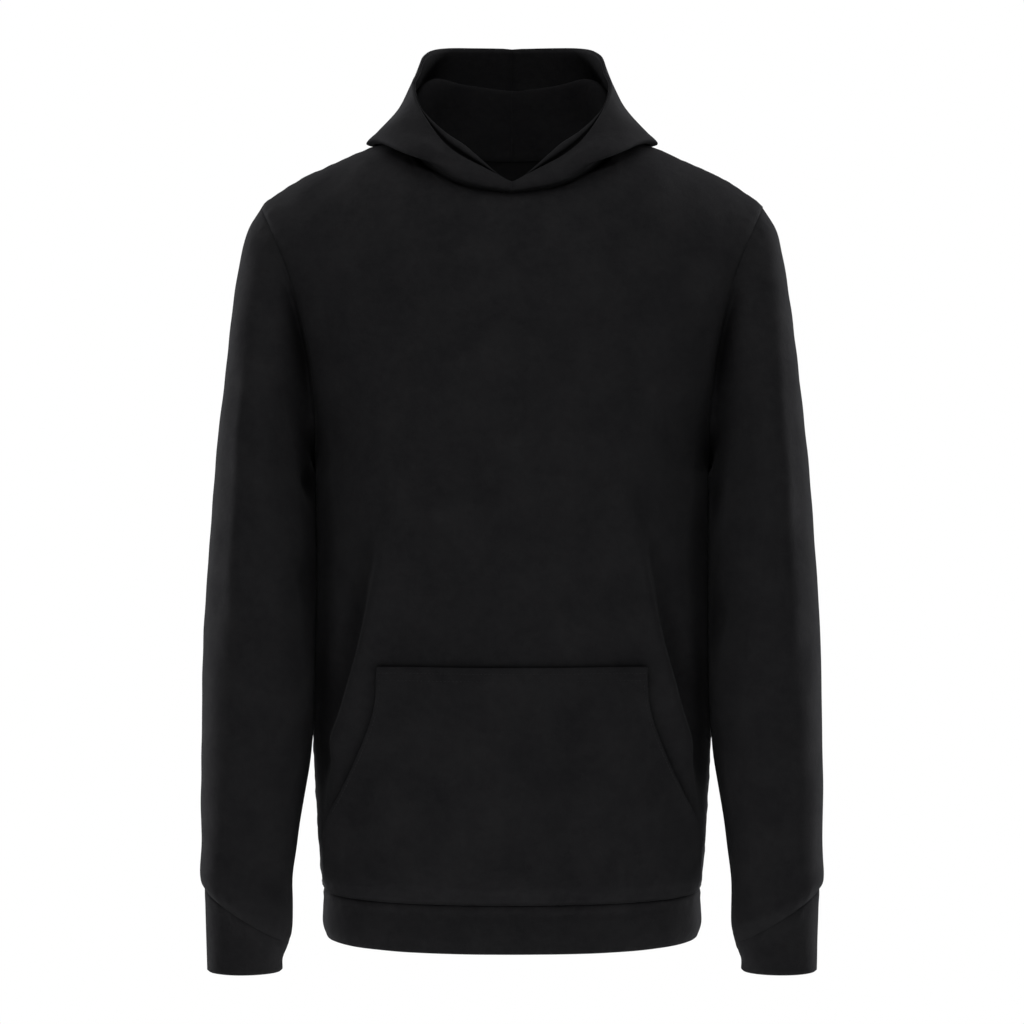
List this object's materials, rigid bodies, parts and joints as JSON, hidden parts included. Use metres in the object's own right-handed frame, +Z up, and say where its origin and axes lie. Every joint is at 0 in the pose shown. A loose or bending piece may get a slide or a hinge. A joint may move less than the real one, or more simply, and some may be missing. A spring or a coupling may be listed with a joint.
{
  "type": "pullover hoodie",
  "caption": "Plain black pullover hoodie, filled out as if worn, with a lowered hood, long sleeves, a slanted kangaroo pocket, cuffs and a hem band.",
  "frame": {"origin": "middle of the neck, level with the high points of the shoulders, where the wearer holds the garment up", "axes": "+Z up, -Y the front, +X the wearer's left"},
  "size_m": [0.5396, 0.325, 0.8215],
  "materials": {
    "fleece": "soft matt",
    "band_fleece": "soft matt"
  },
  "bodies": {
    "root": {"front": "fleece", "back": "fleece", "sleeve_left": "fleece", "sleeve_right": "fleece", "hood_left": "fleece", "hood_right": "fleece", "hood_hem_left": "fleece", "hood_hem_right": "fleece", "pocket": "fleece", "hem_band": "band_fleece", "cuff_left": "band_fleece", "cuff_right": "band_fleece"}
  },
  "joints": []
}
